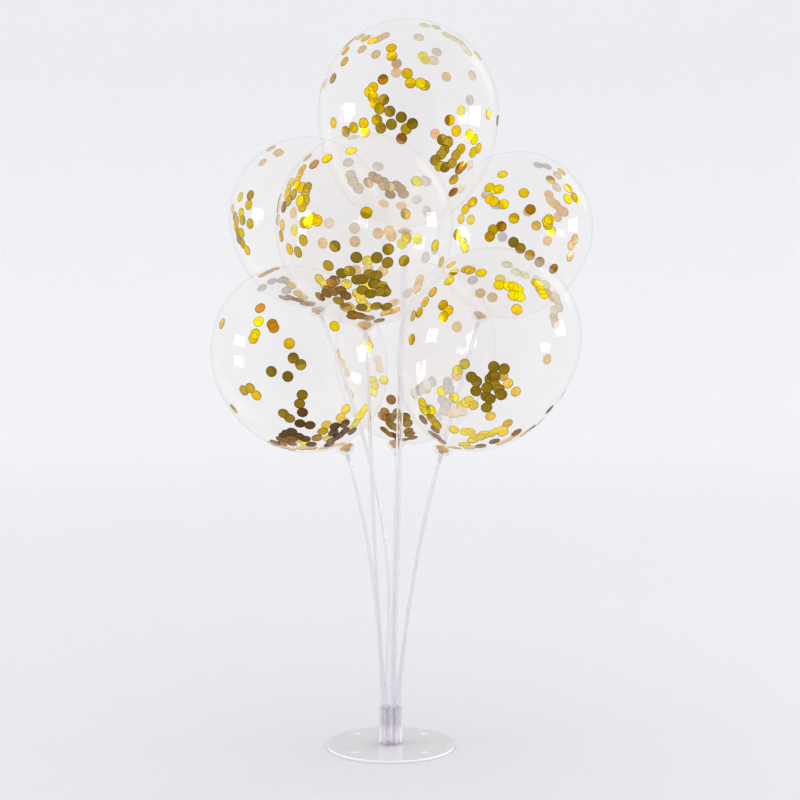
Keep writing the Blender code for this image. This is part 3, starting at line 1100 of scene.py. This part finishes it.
# %% Disc
DIMPLE_RADIUS = 4.5 * MM
DIMPLE_DEPTH = 0.8 * MM
DIMPLE_FROM_EDGE = 20 * MM
DIMPLE_SOFT = 1.0 * MM
DISC_EDGE = 0.8 * MM
RIM_HIGHLIGHT_BAND = 1.6 * MM
CROWD_REACH = 1.3 * DIMPLE_RADIUS
DIMPLE_ZONE = 1.2
COARSE_STEPS = 12
FINE_TURNS, FINE_RINGS = 24, 26
EDGE_ROWS = 6

disc_low, disc_high = (np.array(corner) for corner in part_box("base_disc"))
disc_radius = (disc_high[0] - disc_low[0]) / 2
disc_thickness = disc_high[2]
reach = disc_radius - DIMPLE_FROM_EDGE


def crowded(low, high, centre, half, coarse, fine):
    """Steps from low to high, many of them within half of the centre."""
    return np.unique(np.concatenate([
        np.linspace(low, centre - half, coarse), np.linspace(centre - half, centre + half, fine),
        np.linspace(centre + half, high, coarse)]))


def build_disc():
    """Top, eased edge and underside: the top sinks within a dimple's radius of its middle."""
    quarter = crowded(0, np.pi / 2, np.pi / 4, CROWD_REACH / reach, COARSE_STEPS, FINE_TURNS)[:-1]
    t = np.concatenate([quarter + i * np.pi / 2 for i in range(4)])
    radii = crowded(0.0, disc_radius - DISC_EDGE, reach, CROWD_REACH, COARSE_STEPS, FINE_RINGS)
    turn = np.linspace(np.pi / 2, 0, EDGE_ROWS)
    edge_r = disc_radius - DISC_EDGE + DISC_EDGE * np.cos(turn)
    edge_z = DISC_EDGE * np.sin(turn)
    r = np.concatenate([[0], edge_r, edge_r[::-1], radii[::-1]])
    z = np.concatenate([[0], DISC_EDGE - edge_z, disc_thickness - DISC_EDGE + edge_z[::-1],
                        np.full(len(radii), disc_thickness)])
    x, y = np.outer(r, np.cos(t)), np.outer(r, np.sin(t))
    grid = np.stack([x, y, np.repeat(z[:, None], len(t), 1)], -1)
    top = slice(len(r) - len(radii), None)
    middle = reach * math.sqrt(0.5)
    gap = np.hypot(np.abs(x[top]) - middle, np.abs(y[top]) - middle)
    sink = np.clip((DIMPLE_RADIUS - gap) / DIMPLE_SOFT, 0, 1)
    grid[top, :, 2] -= DIMPLE_DEPTH * sink * sink * (3 - 2 * sink)
    plate = make_piece("disc_plate", [grid], white_finish, ["base_disc"])
    places = np.empty(len(plate.data.vertices) * 3)
    plate.data.vertices.foreach_get("co", places)
    x, y, z = places.reshape(-1, 3).T
    # Painted highlight: a lighter band along the eased rim and a ring round each dimple's wall.
    rim = np.clip((np.hypot(x, y) - disc_radius + RIM_HIGHLIGHT_BAND) / RIM_HIGHLIGHT_BAND, 0, 1)
    sunk = np.clip((disc_thickness - z) / DIMPLE_DEPTH, 0, 1) * (np.hypot(x, y) < reach * DIMPLE_ZONE)
    thin = np.clip(rim + 4 * sunk * (1 - sunk), 0, 1)
    plate.data.attributes.new("plate_painted_highlight", "FLOAT", "POINT").data.foreach_set("value", thin)


build_disc()

# %% [markdown]
# ## Studio
# The floor runs back and curves up into a wall, as a paper sweep does, so no edge shows behind
# the balloons. Foil mirrors the room, so the world has two faces: even light for everything
# matt, and for glossy rays a darker room with a bright ceiling and side walls. That room is also
# darker straight back, which draws a thin line round each balloon. The softboxes have grids on,
# so that their light stays on the object and doesn't spill on the floor beside it.

# %% Sweep, lights and world
SWEEP_FLAT = 3.4
SWEEP_CURVE = 1.2
SWEEP_TOP = 2.6
SWEEP_SIDES = 96
SWEEP_ROWS = 24
FLOOR_RINGS = [0, 0.5, 1, 2]
# Light levels along each axis: 0 is straight down, left or towards the camera, and 1 is the other way.
ROOM_LEVELS = {
    "Z": [(0.0, 0.50), (0.18, 0.46), (0.22, 0.62), (0.39, 0.50), (0.43, 0.74), (0.54, 0.68),
          (0.57, 0.84), (0.66, 0.78), (0.69, 1.05), (1.0, 1.05)],
    "X": [(0.0, 0.90), (0.20, 0.90), (0.23, 0.25), (0.77, 0.25), (0.80, 0.90), (1.0, 0.90)],
    "Y": [(0.0, 0.62), (0.10, 0.70), (0.13, 1.0), (0.94, 1.0), (0.965, 0.5), (1.0, 0.5)],
}
GRID_SPREAD = math.radians(80)
AIM = (0, 0, 0.7)
EVEN_LIGHT = 1.28
MIRRORED_LIGHT = 1.15


def build_sweep():
    """Round floor whose edge turns up through a quarter circle into a wall, with painted shade round
    the middle.
    """
    turn = np.linspace(0, np.pi / 2, SWEEP_ROWS)
    r = np.concatenate([FLOOR_RINGS, SWEEP_FLAT + SWEEP_CURVE * np.sin(turn),
                        [SWEEP_FLAT + SWEEP_CURVE]])
    z = np.concatenate([np.zeros(len(FLOOR_RINGS)), SWEEP_CURVE * (1 - np.cos(turn)), [SWEEP_TOP]])
    grid = turned(np.column_stack([r, z]), SWEEP_SIDES)[::-1]
    mesh = joined_mesh("sweep", [grid], False)
    sweep = bpy.data.objects.new("sweep", mesh)
    bpy.context.scene.collection.objects.link(sweep)
    material, tree, shader, place = start_material("paper_sweep", {"Roughness": 0.9})
    fibre = add_node(tree, "ShaderNodeTexNoise", values={"Scale": per_metre(4), "Detail": 3.0},
                     links={"Vector": place})
    fibres = add_node(tree, "ShaderNodeValToRGB", links={"Fac": fibre.outputs["Fac"]},
                      stops=[(0.3, "#FAFAFA"), (0.7, "#FFFFFF")])
    # Painted shade and light: the paper darkens towards the middle, a painted shadow pool round the
    # disc, and lightens out at the wall, as painted light there.
    away = add_node(tree, "ShaderNodeVectorMath", {"operation": "LENGTH"}, links={0: place})
    share = add_node(tree, "ShaderNodeMath", {"operation": "DIVIDE"}, values={1: SWEEP_FLAT},
                     links={0: away.outputs["Value"]})
    paper = add_node(tree, "ShaderNodeValToRGB", links={"Fac": share.outputs["Value"]},
                     stops=[(0.0, "#D5D6D8"), (1.0, "#F1F1F2")])
    both = add_node(tree, "ShaderNodeMix", {"data_type": "RGBA", "blend_type": "MULTIPLY"},
                    {"Factor": 1.0}, {"A": fibres.outputs["Color"], "B": paper.outputs["Color"]})
    tree.links.new(both.outputs["Result"], shader.inputs["Base Color"])
    mesh.materials.append(material)
    sweep.visible_glossy = False


def add_softbox(name, place, width, height, watts):
    """Rectangular light that faces the balloons and isn't seen itself."""
    light = bpy.data.lights.new(name, "AREA")
    light.shape = "RECTANGLE"
    light.size, light.size_y, light.energy = width, height, watts
    light.spread = GRID_SPREAD
    softbox = bpy.data.objects.new(name, light)
    softbox.location = place
    softbox.rotation_euler = (Vector(AIM) - Vector(place)).to_track_quat("-Z", "Y").to_euler()
    softbox.visible_camera = False
    softbox.visible_transmission = False
    bpy.context.scene.collection.objects.link(softbox)


def build_world():
    """Even pale light, and a structured room for what only mirrors."""
    world = bpy.data.worlds.new("studio")
    bpy.context.scene.world = world
    world.use_nodes = True
    world.cycles.sampling_method = "NONE"
    tree = world.node_tree
    tree.nodes.clear()
    way = add_node(tree, "ShaderNodeTexCoord").outputs["Generated"]
    xyz = add_node(tree, "ShaderNodeSeparateXYZ", links={"Vector": way})
    levels = {}
    for axis, stops in ROOM_LEVELS.items():
        share = add_node(tree, "ShaderNodeMapRange", values={"From Min": -1.0, "From Max": 1.0},
                         links={"Value": xyz.outputs[axis]})
        levels[axis] = add_node(tree, "ShaderNodeValToRGB", stops=stops,
                                links={"Fac": share.outputs["Result"]}).outputs["Color"]
    walls = add_node(tree, "ShaderNodeMix", {"data_type": "RGBA", "blend_type": "LIGHTEN"},
                     {"Factor": 1.0}, {"A": levels["Z"], "B": levels["X"]})
    room = add_node(tree, "ShaderNodeMix", {"data_type": "RGBA", "blend_type": "MULTIPLY"},
                    {"Factor": 1.0}, {"A": walls.outputs["Result"], "B": levels["Y"]})
    even = add_node(tree, "ShaderNodeBackground",
                    values={"Color": linear("#F6F6F8"), "Strength": EVEN_LIGHT})
    mirrored = add_node(tree, "ShaderNodeBackground", values={"Strength": MIRRORED_LIGHT},
                        links={"Color": room.outputs["Result"]})
    kind = add_node(tree, "ShaderNodeLightPath")
    only_mirrors = add_node(tree, "ShaderNodeMath", {"operation": "SUBTRACT", "use_clamp": True},
                            links={0: kind.outputs["Is Glossy Ray"],
                                   1: kind.outputs["Transmission Depth"]})
    mix = add_node(tree, "ShaderNodeMixShader", links={
        0: only_mirrors.outputs["Value"], 1: even.outputs["Background"],
        2: mirrored.outputs["Background"]})
    add_node(tree, "ShaderNodeOutputWorld", links={"Surface": mix.outputs["Shader"]})


build_sweep()
build_world()
add_softbox("left_softbox", (-2.3, -0.5, 0.95), 0.74, 0.38, 1.7)
add_softbox("right_softbox", (2.3, 0.06, 0.78), 0.78, 0.48, 2.3)
add_softbox("back_window", (2.0, 1.9, 1.9), 1.0, 1.7, 1.6)
bpy.context.scene.view_settings.view_transform = "Standard"
bpy.context.scene.cycles.transparent_max_bounces = 32
bpy.context.scene.cycles.max_bounces = 24
bpy.context.scene.cycles.transmission_bounces = 24
